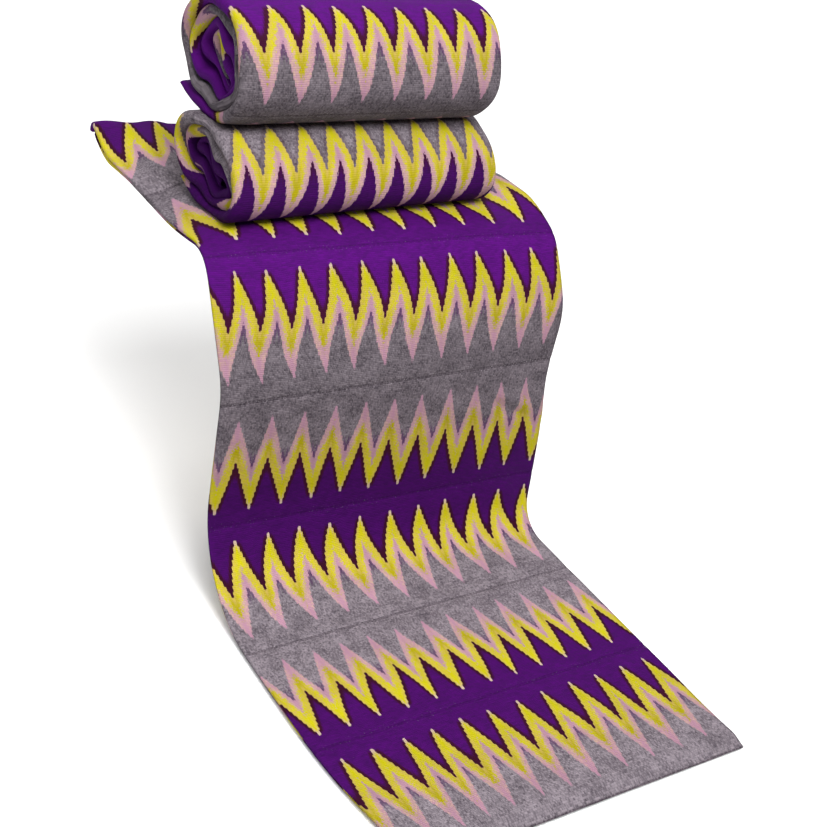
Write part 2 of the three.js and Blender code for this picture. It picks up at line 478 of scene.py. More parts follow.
class EdgePath:
    """A side edge of the runner's upper side: straight runs joined by soft bends."""

    arc_steps = 32
    sample = 0.5
    softness = 7.0

    def __init__(self, corners: tuple[Corner, ...]) -> None:
        """Rounds the corners and walks the path at even steps.

        Args:
            corners: The corners from the back hem to the front hem.
        """
        points = [Vector((corner.y, corner.z)) for corner in corners]
        walk = [points[0]]
        for before, point, after, corner in zip(points, points[1:], points[2:], corners[1:]):
            walk.extend(self.round_corner(before, point, after, corner.radius))
        walk.append(points[-1])
        line = np.array([tuple(point) for point in walk])
        lengths = walk_lengths(line)
        self.length = float(lengths[-1])
        self.walked = np.linspace(0.0, self.length, int(self.length / self.sample) + 1)
        even = pairs_at(self.walked, lengths, line)
        self.points = np.stack([self.soften(even[:, i]) for i in range(2)], axis=1)
        tangents = directions(self.points, self.walked)
        self.normals = np.stack([tangents[:, 1], -tangents[:, 0]], axis=1)

    def round_corner(self, before: Vector, point: Vector, after: Vector, radius: float) -> list[Vector]:
        """Swaps a corner for an arc.

        Args:
            before: The corner before this one.
            point: The corner.
            after: The corner after this one.
            radius: Radius of the arc.

        Returns:
            The points of the arc.
        """
        inward = (point - before).normalized()
        onward = (after - point).normalized()
        turn = math.atan2(inward.x * onward.y - inward.y * onward.x, inward.dot(onward))
        start = point - inward * (radius * math.tan(abs(turn) / 2))
        centre = start + Vector((-inward.y, inward.x)) * math.copysign(radius, turn)
        angles = [turn * step / self.arc_steps for step in range(self.arc_steps + 1)]
        return [centre + Matrix.Rotation(angle, 2) @ (start - centre) for angle in angles]

    def soften(self, line: np.ndarray) -> np.ndarray:
        """Evens out the change from straight to bent.

        Args:
            line: One coordinate at even steps along the path.

        Returns:
            The coordinate averaged over a short window, with its ends kept.
        """
        half = int(self.softness / self.sample)
        window = np.hanning(2 * half + 3)[1:-1]
        before = 2 * line[0] - line[half:0:-1]
        after = 2 * line[-1] - line[-2 : -half - 2 : -1]
        return np.convolve(np.concatenate([before, line, after]), window / window.sum(), mode="valid")

    def at(self, share: np.ndarray) -> tuple[np.ndarray, np.ndarray]:
        """Gives the points at shares of the whole length, and the normals of the upper side there."""
        walked = share * self.length
        return pairs_at(walked, self.walked, self.points), pairs_at(walked, self.walked, self.normals)


@dataclass(frozen=True)
class Ripple:
    """A fine wave: how far it takes to turn by a radian, where it starts, and its share of the whole."""

    reach: float
    shift: float
    share: float

    def at(self, place: np.ndarray, number: int = 1) -> np.ndarray:
        """Gives its height at places along it, with another start for each number."""
        return self.share * np.sin(place / self.reach + self.shift * number)


@dataclass(frozen=True)
class Swell:
    """A soft ridge or trough in the cloth: a mound of given half sizes, turned by an angle in degrees."""

    across: float
    along: float
    half_across: float
    half_along: float
    height: float
    turn: float = 0.0

    def rise(self, across: np.ndarray, along: np.ndarray) -> np.ndarray:
        """Works out its height.

        Args:
            across: Place of each point across the runner.
            along: Distance of each point along it.

        Returns:
            The height at each point.
        """
        cos = math.cos(math.radians(self.turn))
        sin = math.sin(math.radians(self.turn))
        from_across = across - self.across
        from_along = along - self.along
        main = bell(from_across * cos + from_along * sin, self.half_across)
        return self.height * main * bell(from_along * cos - from_across * sin, self.half_along)


@dataclass(frozen=True)
class EdgeRise:
    """A side edge that hangs below the rest of the cloth, or stands above it, between two places along it."""

    side: Side
    reach: float
    start: float
    full: float
    fade: float
    end: float
    height: float
    curl: float = 1.3

    def rise(self, across: np.ndarray, along: np.ndarray, half_width: float) -> np.ndarray:
        """Works out its height.

        Args:
            across: Place of each point across the runner.
            along: Distance of each point along it.
            half_width: Half the runner's width.

        Returns:
            The height at each point.
        """
        inward = half_width - self.side.value * across
        comes = ease((along - self.start) / (self.full - self.start))
        goes = ease((self.end - along) / (self.end - self.fade))
        return self.height * ease(1.0 - inward / self.reach) ** self.curl * comes * goes


@dataclass(frozen=True)
class EdgeShift:
    """A side edge that lies further to the right, or to the left, around one place along the cloth."""

    side: Side
    reach: float
    along: float
    half_along: float
    shift: float

    def push(self, across: np.ndarray, along: np.ndarray, half_width: float) -> np.ndarray:
        """Gives how far it moves points of the cloth along X."""
        inward = half_width - self.side.value * across
        return self.shift * ease(1.0 - inward / self.reach) * bell(along - self.along, self.half_along)


@dataclass(frozen=True)
class HemDrop:
    """The front hem, where the layers end one behind the other and the uppermost comes down over the rest."""

    stagger: float = 9.0
    stagger_from: float = 90.0
    short_right: float = 1.5
    short_left: float = 4.4
    drop_from: float = 15.0
    drop_share: float = 0.78

    def held_back(self, to_hem: np.ndarray, depth_share: np.ndarray, toward_right: np.ndarray) -> np.ndarray:
        """Gives how far points lie behind a straight hem: the lower layers more, and the left corner more."""
        short = self.short_left + (self.short_right - self.short_left) * toward_right
        return (short + self.stagger * depth_share) * ease(1.0 - to_hem / self.stagger_from)

    def sinks(self, to_hem: np.ndarray) -> np.ndarray:
        """Gives the share of its height above the floor that the cloth loses towards the hem."""
        return self.drop_share * ease(1.0 - to_hem / self.drop_from)


@dataclass(frozen=True)
class CornerFan:
    """The back corner of the left fold, where the layers spread apart."""

    reach: float = 46.0
    length: float = 78.0
    spread: float = 1.3

    def widen(self, across: np.ndarray, along: np.ndarray, half_width: float) -> np.ndarray:
        """Gives the factor by which the layers lie further apart."""
        near = ease(1.0 - (half_width + across) / self.reach)
        return 1.0 + self.spread * near * ease(1.0 - along / self.length)


BACK_CORNERS = (Corner(206, 246, 0), Corner(206, 254, 7), Corner(150, 250.3, 120))
FRONT_HEM = Corner(-329, 6, 0)


@dataclass
class Runner:
    """The long cloth folded in four: over the stand, down its front and out along the floor.

    Swells lift all its layers, and floor_swells the upper side alone. Along each seam lies a groove, with
    gathers beside it.
    """

    width: float = 285.0
    spacing: float = 2.6
    seam_depth: float = 0.44
    seam_half_width: float = 2.2
    pucker: float = 0.32
    pucker_reach: float = 14.0
    gathers: tuple[Ripple, ...] = (Ripple(7.3, 2.1, 0.6), Ripple(4.1, 1.3, 0.4))
    left_corners: tuple[Corner, ...] = (
        *BACK_CORNERS,
        Corner(4, 250.3, 34),
        Corner(-48, 166, 60),
        Corner(-52, 6, 74),
        FRONT_HEM,
    )
    right_corners: tuple[Corner, ...] = (
        *BACK_CORNERS,
        Corner(-8, 250.3, 42),
        Corner(-41, 188, 70),
        Corner(-63, 6, 28),
        FRONT_HEM,
    )
    chart: StripChart = StripChart(
        first_seam=-3.0,
        # The last three numbers of each strip are painted light and shade: its purple, grey and zigzag made
        # lighter or darker for how light falls on its part of the runner
        strips=(
            Strip(115.0, 18.6, 23.6, lean=-13.0, margin=31.0, knee=60.0, painted_shading=(1.14, 1.28, 1.19)),
            Strip(103.4, 0.0, 26.2, painted_shading=(1.2, 1.15, 1.05)),
            Strip(100.3, 18.5, 24.3, sway=1.9, painted_shading=(1.42, 0.87, 0.93)),
            Strip(99.2, 3.4, 24.95, lean=3.0, painted_shading=(0.87, 0.93, 0.93)),
            Strip(98.8, 21.5, 26.0, lean=7.0, painted_shading=(1.0, 1.4, 1.22)),
            Strip(95.0, 10.2, 22.93, lean=1.7, painted_shading=(1.08, 1.48, 1.145)),
            Strip(107.7, 12.8, 23.8, lean=3.0, painted_shading=(1.1, 1.4, 1.01)),
        ),
    )
    edges: tuple[EdgeRise, ...] = (
        EdgeRise(Side.LEFT, 40.0, 4.0, 44.0, 140.0, 242.0, -10.5),
        EdgeRise(Side.RIGHT, 60.0, 100.0, 145.0, 170.0, 212.0, 7.0),
        EdgeRise(Side.RIGHT, 60.0, 180.0, 205.0, 215.0, 250.0, -3.0),
    )
    shifts: tuple[EdgeShift, ...] = (
        EdgeShift(Side.LEFT, 60.0, 14.0, 34.0, -3.2),
        EdgeShift(Side.LEFT, 130.0, 738.0, 92.0, 16.5),
        EdgeShift(Side.RIGHT, 60.0, 735.0, 34.0, 4.0),
        EdgeShift(Side.RIGHT, 70.0, 212.0, 22.0, 4.0),
        EdgeShift(Side.RIGHT, 80.0, 265.0, 26.0, 3.0),
        EdgeShift(Side.RIGHT, 80.0, 330.0, 30.0, -3.5),
    )
    hem: HemDrop = HemDrop()
    fan: CornerFan = CornerFan()
    swells: tuple[Swell, ...] = (
        Swell(112.0, 347.0, 27.0, 4.6, 1.5, 27.0),
        Swell(108.0, 355.0, 27.0, 4.2, -1.5, 27.0),
        Swell(-60.0, 470.0, 70.0, 16.0, 1.4, 4.0),
        Swell(40.0, 500.0, 60.0, 14.0, -1.2, 6.0),
        Swell(-134.0, 0.0, 17.0, 26.0, 4.0),
        Swell(-98.0, 0.0, 12.0, 24.0, 2.6),
        Swell(-72.0, 0.0, 18.0, 24.0, -2.4),
        Swell(30.0, 0.0, 30.0, 26.0, 2.0),
    )
    floor_swells: tuple[Swell, ...] = (
        Swell(-40.0, 575.0, 90.0, 20.0, 1.3, 5.0),
        Swell(70.0, 640.0, 60.0, 24.0, 1.6, -6.0),
        Swell(-70.0, 680.0, 50.0, 26.0, 1.2, 10.0),
    )

    def __post_init__(self) -> None:
        """Makes the two edges and the flat cloth between them."""
        self.left = EdgePath(self.left_corners)
        self.right = EdgePath(self.right_corners)
        length = (self.left.length + self.right.length) / 2
        self.cloth = FoldedCloth("runner_cloth", FourFold(self.width), self.chart, length, self.spacing)

    def rise(self, across: np.ndarray, along: np.ndarray, depth_share: np.ndarray) -> np.ndarray:
        """Adds up what lifts the cloth off its plain path.

        Args:
            across: Place of each point across the runner.
            along: Distance of each point along it.
            depth_share: 0 on the upper side and 1 on the under side.

        Returns:
            The height of each point above its plain path.
        """
        height = np.zeros(np.broadcast(across, along).shape)
        for edge in self.edges:
            height += edge.rise(across, along, self.width / 2)
        for swell in self.swells:
            height += swell.rise(across, along)
        on_top = 1.0 - depth_share
        for swell in self.floor_swells:
            height += swell.rise(across, along) * on_top
        for number, seam in enumerate(self.chart.seams()):
            away = along - seam
            gathers = sum(ripple.at(across, number) for ripple in self.gathers)
            ripple = self.pucker * gathers * bell(away, self.pucker_reach)
            height += (ripple - self.seam_depth * bell(away, self.seam_half_width)) * on_top
        return height

    def laid(self) -> np.ndarray:
        """Lays the cloth between its two edges.

        Returns:
            A point for each row and column of the cloth.
        """
        section = self.cloth.section
        across = self.cloth.across[None, :]
        depth = self.cloth.depth[None, :]
        along = self.cloth.rows[:, None]
        length = self.cloth.rows[-1]
        depth_share = depth / section.thickness
        toward_right = across / self.width + 0.5
        reached = along - self.hem.held_back(length - along, depth_share, toward_right)
        left_point, left_normal = self.left.at(reached / length)
        right_point, right_normal = self.right.at(reached / length)
        toward_right = toward_right[..., None]
        point = left_point * (1.0 - toward_right) + right_point * toward_right
        normal = left_normal * (1.0 - toward_right) + right_normal * toward_right
        normal /= np.hypot(normal[..., 0], normal[..., 1])[..., None]
        lift = self.rise(across, along, depth_share) - depth * self.fan.widen(across, along, self.width / 2)
        point = point + normal * lift[..., None]
        z = point[..., 1] * (1.0 - self.hem.sinks(length - reached))
        z = np.maximum(z, section.cloth * (0.5 + FLOOR_CLEARANCE))
        x = across + sum(shift.push(across, along, self.width / 2) for shift in self.shifts)
        return np.stack([x, point[..., 0] - MIDDLE_Y, z], axis=-1)

    def build(self) -> bpy.types.Object:
        """Builds the runner and puts it in the place of its solid.

        Returns:
            The runner's sheet.
        """
        piece = self.cloth.build(self.laid())
        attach(piece, "root")
        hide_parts("runner")
        self.cloth.flat_size()
        return piece

    def dress(self, piece: bpy.types.Object, material: bpy.types.Material) -> None:
        """Gives the runner its weave."""
        piece.data.materials.append(material)


@dataclass(frozen=True)
class Oval:
    """The oval that the middle of a roll's band follows, at a number of turns from its loose end."""

    turn: float
    semi_y: float
    semi_z: float
    tilt: float


@dataclass
class Roll:
    """A folded band of cloth wound into an oval roll and pressed by what lies on it.

    The layers of the band come together at its loose end, over hem, and a little at its core, over core_hem.
    A tail of the loose end may lie out behind the roll, with a wave in it as far as wave_share of its length.
    The inner windings are drawn in at both ends of the roll, turn by turn, and crushed out of their ovals.
    """

    name: str
    node: str
    length: float
    centre: Place
    yaw: float
    end_angle: float
    ovals: tuple[Oval, ...]
    bottom: float
    top: float
    chart: StripChart
    rests_on: str
    tail_length: float = 0.0
    tail_rise: float = 0.0
    tail_steps: int = 12
    tail_wave: float = 2.8
    tail_wave_reach: float = 38.0
    wave_share: float = 1.3
    recess_left: float = 3.4
    recess_right: float = 2.2
    recess_from: float = 0.75
    flat_spot: float = 2.0
    steps_per_turn: int = 180
    spacing: float = 1.7
    wobble: float = 1.25
    ripples: tuple[Ripple, ...] = (Ripple(19.0, 0.0, 1.0), Ripple(7.7, 1.0, 0.6))
    hem: float = 7.0
    hem_share: float = 0.25
    core_hem: float = 6.0
    core_share: float = 0.7
    bend_share: float = 0.85
    least_room: float = 0.25
    least_bend: float = 1e-6
    slump: float = 0.03
    slump_reach: float = 18.0
    crush: float = 3.8
    crush_wave: float = 5.6
    crush_shift: float = 1.0
    crush_grip: float = 1.6
    crush_reach: float = 50.0

    def __post_init__(self) -> None:
        """Winds the band and divides the flat cloth."""
        self.section = Sleeve(self.length)
        self.wind()
        self.cloth = FoldedCloth(self.name, self.section, self.chart, float(self.walked[-1]), self.spacing)

    def wind(self) -> None:
        """Walks the middle of the band from its loose end to the core, and finds the room in its bends."""
        knots = [oval.turn for oval in self.ovals]
        turn = np.linspace(0.0, knots[-1], round(knots[-1] * self.steps_per_turn) + 1)
        semi_y = np.interp(turn, knots, [oval.semi_y for oval in self.ovals])
        semi_z = np.interp(turn, knots, [oval.semi_z for oval in self.ovals])
        tilt = np.radians(np.interp(turn, knots, [oval.tilt for oval in self.ovals]))
        angle = math.radians(self.end_angle) - 2 * math.pi * turn
        reach_y = semi_y * np.cos(angle)
        reach_z = semi_z * np.sin(angle)
        y = reach_y * np.cos(tilt) - reach_z * np.sin(tilt)
        z = reach_y * np.sin(tilt) + reach_z * np.cos(tilt)
        if self.tail_length > 0:
            share = np.linspace(1.0, 0.0, self.tail_steps, endpoint=False)
            y = np.concatenate([y[0] + self.tail_length * share, y])
            z = np.concatenate([z[0] + self.tail_rise * share**2, z])
            turn = np.concatenate([np.zeros(len(share)), turn])
        self.turn = turn
        self.line = np.stack([y, z], axis=1)
        self.walked = walk_lengths(self.line)
        tangents = directions(self.line, self.walked)
        self.outward = np.stack([-tangents[:, 1], tangents[:, 0]], axis=1)
        heading = np.unwrap(np.arctan2(tangents[:, 1], tangents[:, 0]))
        bend = np.abs(np.gradient(heading, self.walked)) * self.section.thickness / 2
        self.room = np.clip(self.bend_share / np.maximum(bend, self.least_bend), self.least_room, 1.0)

    def pressed(self, z: np.ndarray) -> np.ndarray:
        """Presses the roll between what lies under and over it.

        Args:
            z: Heights above the middle of the roll.

        Returns:
            The heights as pressed.
        """
        half = self.section.thickness / 2
        lowest = self.bottom - self.centre[2]
        highest = self.top - self.centre[2]
        under = np.min(self.line[:, 1] - half * np.abs(self.outward[:, 1]))
        over = np.max(self.line[:, 1] + half * np.abs(self.outward[:, 1]))
        scale = np.where(z < 0, (lowest - self.flat_spot) / under, (highest + self.flat_spot) / over)
        return np.clip(z * scale, lowest, highest)

    def crushed(self, y: np.ndarray, z: np.ndarray, to_left: np.ndarray) -> tuple[np.ndarray, np.ndarray]:
        """Crushes the windings out of their ovals towards the ends of the roll, near the core the most.

        Args:
            y: Distance of each point behind the middle of the roll.
            z: Its height above the middle.
            to_left: Its distance from the left end.

        Returns:
            Both as crushed.
        """
        outer = self.ovals[0]
        from_core = np.hypot(y / outer.semi_y, z / outer.semi_z)
        to_end = np.minimum(to_left, self.length - to_left)
        crush = self.crush * ease(self.crush_grip * (1.0 - from_core)) * ease(1.0 - to_end / self.crush_reach)
        backward = np.sin(z / self.crush_wave + self.crush_shift)
        return y + crush * backward, z + crush * np.sin(y / self.crush_wave)

    def laid(self) -> np.ndarray:
        """Lays the cloth on its windings.

        Returns:
            A point for each row and column of the cloth.
        """
        rows = self.cloth.rows
        middle = pairs_at(rows, self.walked, self.line)
        outward = pairs_at(rows, self.walked, self.outward)
        at_hem = self.hem_share + (1.0 - self.hem_share) * ease(rows / self.hem)
        at_core = self.core_share + (1.0 - self.core_share) * ease((rows[-1] - rows) / self.core_hem)
        plump = np.minimum(at_hem, at_core) * np.interp(rows, self.walked, self.room)
        offset = (self.section.thickness / 2 - self.cloth.depth)[None, :] * plump[:, None]
        half = self.length / 2
        to_left = (half + self.cloth.across)[None, :]
        slumped = 1.0 - self.slump * ease(1.0 - to_left / self.slump_reach)
        y = (middle[:, :1] + outward[:, :1] * offset) * slumped
        z = self.pressed(middle[:, 1:] + outward[:, 1:] * offset) * slumped
        y, z = self.crushed(y, z, to_left)
        if self.tail_length > 0:
            loose = ease(1.0 - rows / (self.wave_share * self.tail_length))[:, None]
            z = z + self.tail_wave * loose * np.sin(to_left / self.tail_wave_reach)
        uneven = self.wobble * sum(ripple.at(rows) for ripple in self.ripples)[:, None]
        turn = np.interp(rows, self.walked, self.turn)[:, None]
        drawn_in = np.maximum(turn - self.recess_from, 0.0)
        left = -half + self.recess_left * drawn_in + uneven
        right = half - self.recess_right * drawn_in + uneven
        share = to_left / self.length
        x = left * (1.0 - share) + right * share
        yaw = math.radians(self.yaw)
        turned_x = x * math.cos(yaw) - y * math.sin(yaw)
        turned_y = x * math.sin(yaw) + y * math.cos(yaw)
        at_x, at_y, at_z = self.centre
        return np.stack([at_x + turned_x, at_y - MIDDLE_Y + turned_y, at_z + z], axis=-1)

    def build(self) -> bpy.types.Object:
        """Builds the roll and puts it in the place of its solid.

        Returns:
            The roll's sheet.
        """
        piece = self.cloth.build(self.laid())
        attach(piece, "root")
        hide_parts(self.node)
        self.cloth.flat_size()
        return piece

    def dress(self, piece: bpy.types.Object, material: bpy.types.Material) -> None:
        """Gives the roll its weave."""
        piece.data.materials.append(material)


@dataclass(frozen=True)
class Ramp:
    """A soft change from a first value to a last one, between two levels of what drives it."""

    low: float
    high: float
    first: float = 0.0
    last: float = 1.0


@dataclass(frozen=True)
class Grain:
    """A noise over the weave: how fast it changes across the cloth and along it, its detail and its seed."""

    across: float
    along: float
    detail: float
    seed: float = 0.0


class NodeBench:
    """Lays out the nodes of one material and links them."""

    def __init__(self, name: str) -> None:
        """Starts a material with an empty node tree.

        Args:
            name: Name of the material.
        """
        self.material = bpy.data.materials.new(name)
        self.material.use_nodes = True
        self.tree = self.material.node_tree
        self.tree.nodes.clear()

    def node(self, kind: str, feeds: dict | None = None, **settings: object) -> bpy.types.Node:
        """Adds a node.

        Args:
            kind: Type of the node.
            feeds: For an input's name or number, the socket that it is linked to or its own value.
            settings: Other settings of the node.

        Returns:
            The node.
        """
        made = self.tree.nodes.new(kind)
        for key, value in settings.items():
            setattr(made, key, value)
        for key, value in (feeds or {}).items():
            if isinstance(value, Socket):
                self.tree.links.new(value, made.inputs[key])
            else:
                made.inputs[key].default_value = value
        return made

    def math(self, operation: str, *values: object) -> Socket:
        """Adds a Math node and returns its result."""
        return self.node("ShaderNodeMath", dict(enumerate(values)), operation=operation).outputs[0]

    def times(self, value: object, factor: object) -> Socket:
        """Multiplies two values."""
        return self.math("MULTIPLY", value, factor)

    def plus(self, value: object, other: object) -> Socket:
        """Adds two values."""
        return self.math("ADD", value, other)

    def minus(self, value: object, other: object) -> Socket:
        """Takes one value from another."""
        return self.math("SUBTRACT", value, other)

    def times_plus(self, value: object, factor: object, other: object) -> Socket:
        """Multiplies two values and adds a third."""
        return self.math("MULTIPLY_ADD", value, factor, other)

    def ramp(self, value: Socket, ramp: Ramp) -> Socket:
        """Takes a value through a ramp.

        Args:
            value: The value.
            ramp: Levels of the value, and the results there.

        Returns:
            The result, with soft ends and held there.
        """
        levels = {"From Min": ramp.low, "From Max": ramp.high, "To Min": ramp.first, "To Max": ramp.last}
        feeds = {"Value": value, **levels}
        made = self.node("ShaderNodeMapRange", feeds, interpolation_type="SMOOTHSTEP", clamp=True)
        return made.outputs[0]

    def blend(self, share: Socket, first: object, second: object, kind: str = "MIX") -> Socket:
        """Mixes two colours by a share."""
        feeds = {0: share, 6: first, 7: second}
        return self.node("ShaderNodeMix", feeds, data_type="RGBA", blend_type=kind).outputs[2]

    def scaled(self, colour: Socket, factor: Socket) -> Socket:
        """Makes a colour lighter or darker by a factor."""
        return self.node("ShaderNodeVectorMath", {0: colour, "Scale": factor}, operation="SCALE").outputs[0]

    def split(self, vector: Socket) -> tuple[Socket, ...]:
        """Takes a vector apart."""
        return tuple(self.node("ShaderNodeSeparateXYZ", {0: vector}).outputs)

    def noise(self, vector: Socket, scale: float, detail: float) -> Socket:
        """Adds a noise texture and returns its value."""
        feeds = {"Vector": vector, "Scale": scale, "Detail": detail}
        return self.node("ShaderNodeTexNoise", feeds).outputs[0]

    def grain(self, across: Socket, along: Socket, grain: Grain) -> Socket:
        """Adds a noise over the weave and returns its value.

        Args:
            across: Place across the cloth.
            along: Place along the cloth.
            grain: The noise.

        Returns:
            The value of the noise.
        """
        feeds = {0: self.times(across, grain.across), 1: self.times(along, grain.along), 2: grain.seed}
        return self.noise(self.node("ShaderNodeCombineXYZ", feeds).outputs[0], 1.0, grain.detail)

    def finish(
        self, colour: Socket, roughness: Socket, gloss: float, relief: Socket, strength: float, depth: float
    ) -> bpy.types.Material:
        """Ends the nodes in a surface with a fine relief.

        Args:
            colour: Colour of the surface.
            roughness: Its roughness.
            gloss: How much it mirrors.
            relief: Height of the relief.
            strength: How much of the relief shows.
            depth: Depth of the relief in metres.

        Returns:
            The finished material.
        """
        bump = self.node("ShaderNodeBump", {"Height": relief, "Strength": strength, "Distance": depth})
        feeds = {"Base Color": colour, "Roughness": roughness, "Specular IOR Level": gloss}
        shader = self.node("ShaderNodeBsdfPrincipled", {**feeds, "Normal": bump.outputs[0]})
        self.node("ShaderNodeOutputMaterial", {0: shader.outputs[0]})
        return self.material


@dataclass(frozen=True)
class YarnColours:
    """Colours of the yarns, darker and lighter where a yarn varies."""

    purple_deep: Colour = srgb(48, 3, 68)
    purple: Colour = srgb(62, 6, 85)
    outline: Colour = srgb(45, 8, 19)
    yellow: Colour = srgb(161, 154, 12)
    yellow_olive: Colour = srgb(140, 130, 9)
    yellow_pale: Colour = srgb(159, 137, 70)
    tip: Colour = srgb(166, 142, 152)
    pink: Colour = srgb(146, 110, 127)
    pink_pale: Colour = srgb(160, 132, 118)
    grey_deep: Colour = srgb(62, 56, 62)
    grey: Colour = srgb(112, 104, 110)
    grey_tip: Colour = srgb(70, 36, 76)
    lint: Colour = srgb(168, 162, 166)


@dataclass(frozen=True)
class Weave:
    """Where a point lies in the cloth, and how its yarn varies.

    Teeth run across the cloth and strips along it. Slub is a slow change along each yarn, fleck is a quick
    one, and cloud stands for wide, faint patches.
    """

    teeth: Socket
    strips: Socket
    slub: Socket
    fleck: Socket
    cloud: Socket


@dataclass(frozen=True)
class KenteFinish:
    """The woven cloth: zigzag bands of stepped teeth between two plain colours, with fine weft ribs.

    A band's edge is a share of the strip from its first seam: where it stands at a tooth's peak, how much
    further on it is at the valley, and how far it bulges between them.
    """

    name: str
    face: ClothFace
    yarns: YarnColours = YarnColours()

    # Edges of the bands: their places, how far they fray, and how soft they are
    yellow_edge: BandEdge = (0.108, 0.41, 0.0)
    pink_edge: BandEdge = (0.33, 0.35, 0.025)
    far_edge: BandEdge = (0.46, 0.395, 0.0)
    fray: float = 0.02
    pink_fray: float = 0.24
    far_fray: float = 0.06
    yellow_blur: Ramp = Ramp(-0.004, 0.008)
    pink_blur: Ramp = Ramp(-0.045, 0.045)
    far_blur: Ramp = Ramp(-0.008, 0.012)

    # Teeth: their steps, and how far they stray from their places, though not at a seam
    blunt: float = 0.035
    steps_per_leg: float = 9.0
    step_share: float = 0.75
    stray_teeth: float = 0.28
    stray_strips: float = 0.05
    sideways: Grain = Grain(0.8, 1.36, 1.0)
    onward: Grain = Grain(0.9, 0.9, 1.0, 6.3)
    seam_hold: Ramp = Ramp(0.02, 0.1)

    # Dark outline of the yellow band, how softly it starts past the peaks, and how far it fills the valleys
    outline: Ramp = Ramp(-0.125, -0.06, 0.0, 0.92)
    outline_end: float = 0.04
    pocket: Ramp = Ramp(0.86, 1.0, 0.0, 0.03)

    # Colours within the bands
    fading: Ramp = Ramp(0.42, 0.6, 0.1, 0.8)
    pale_rim: Ramp = Ramp(0.01, 0.09, 0.8, 0.0)
    olive: Ramp = Ramp(0.55, 0.95)
    tip_width: Ramp = Ramp(0.03, 0.14, 0.62, 0.0)
    tip_length: Ramp = Ramp(0.015, 0.06, 1.0, 0.0)
    pink_mix: Ramp = Ramp(0.3, 0.7)
    tint_width: Ramp = Ramp(0.06, 0.24, 0.75, 0.0)
    tint_length: Ramp = Ramp(0.02, 0.12, 1.0, 0.0)
    purple_mix: Ramp = Ramp(0.2, 0.8)
    heather: tuple[float, float, float] = (0.3, 0.5, 0.2)
    heather_mix: Ramp = Ramp(0.32, 0.68)

    # Yarns: their ribs, with painted shade in the furrows between them, how they vary, and their surface
    ribs_per_strip: float = 74.0
    slub: Grain = Grain(4.2, 5.37, 3.0)
    fleck: Grain = Grain(17.0, 3.71, 1.0)
    cloud: Grain = Grain(1.3, 6.0, 3.0)
    # Painted shade: the furrows between the ribs darker, where shade falls
    furrow_painted_shade: Ramp = Ramp(0.18, 0.5, 1.0, 0.9)
    patch_shade: Ramp = Ramp(0.3, 0.7, 0.93, 1.05)
    roughness: Ramp = Ramp(0.3, 0.7, 0.72, 0.9)
    gloss: float = 0.06
    rib_relief: Ramp = Ramp(0.05, 0.5, 1.0, 0.0)
    fleck_relief: float = 0.7
    seam_relief: float = 0.9
    relief_strength: float = 0.45
    relief_depth: float = 0.0003

    # Seams: how far they wander, their stitches, and the lint along them, in purple and in grey
    wander: Grain = Grain(1.1, 0.0, 1.0)
    wander_width: float = 0.012
    seam_width: Ramp = Ramp(0.001, 0.007, 1.0, 0.0)
    seam_shade: Colour = (0.3, 0.27, 0.3, 1.0)
    seam_in_grey: Ramp = Ramp(0.0, 1.0, 0.55, 1.0)
    stitches_per_tooth: float = 24.4 / 3.4
    stitch_pull: Ramp = Ramp(0.2, 0.6, 0.4, 0.8)
    speck: Grain = Grain(19.52, 80.8, 2.0)
    speck_size: Ramp = Ramp(0.64, 0.71)
    lint_reach: Ramp = Ramp(0.0, 0.05, 1.0, 0.0)
    lint_in_grey: Ramp = Ramp(0.0, 1.0, 0.12, 0.62)
    grey_from: float = 0.4
    grey_to: float = 0.6

    def build(self) -> bpy.types.Material:
        """Builds the material.

        Returns:
            The finished cloth material.
        """
        bench = NodeBench(self.name)
        place = bench.split(bench.node("ShaderNodeUVMap", uv_map=WEAVE_MAP).outputs[0])
        teeth, strips = self.uneven(bench, place[0], place[1])
        ribs = bench.times(strips, self.ribs_per_strip)
        rib = bench.math("FLOOR", ribs)
        slub = bench.grain(teeth, rib, self.slub)
        fleck = bench.grain(teeth, rib, self.fleck)
        weave = Weave(teeth, strips, slub, fleck, bench.grain(teeth, strips, self.cloud))
        colour, seam = self.sew(bench, weave, self.bands(bench, weave))
        furrow = bench.math("ABSOLUTE", bench.minus(bench.math("FRACT", ribs), 0.5))
        # Painted shade in the rib furrows, times faint random patches of tone
        shade = bench.times(bench.ramp(furrow, self.furrow_painted_shade), bench.ramp(weave.cloud, self.patch_shade))
        relief = bench.plus(bench.ramp(furrow, self.rib_relief), bench.times(fleck, self.fleck_relief))
        relief = bench.minus(relief, bench.times(seam, self.seam_relief))
        roughness = bench.ramp(slub, self.roughness)
        colour = bench.scaled(colour, shade)
        return bench.finish(colour, roughness, self.gloss, relief, self.relief_strength, self.relief_depth)

    def uneven(self, bench: NodeBench, teeth: Socket, strips: Socket) -> tuple[Socket, Socket]:
        """Lets the teeth stray a little, as a weaver's hand does.

        Args:
            bench: The material's nodes.
            teeth: Teeth across the cloth.
            strips: Strips along the cloth.

        Returns:
            The teeth and the strips as woven, with the seams in their places.
        """
        sideways = bench.grain(teeth, strips, self.sideways)
        onward = bench.grain(teeth, bench.math("FLOOR", strips), self.onward)
        seam_hold = bench.ramp(bench.math("PINGPONG", strips, 0.5), self.seam_hold)
        stray = bench.times(bench.minus(onward, 0.5), seam_hold)
        woven_teeth = bench.times_plus(bench.minus(sideways, 0.5), self.stray_teeth, teeth)
        return woven_teeth, bench.times_plus(stray, self.stray_strips, strips)

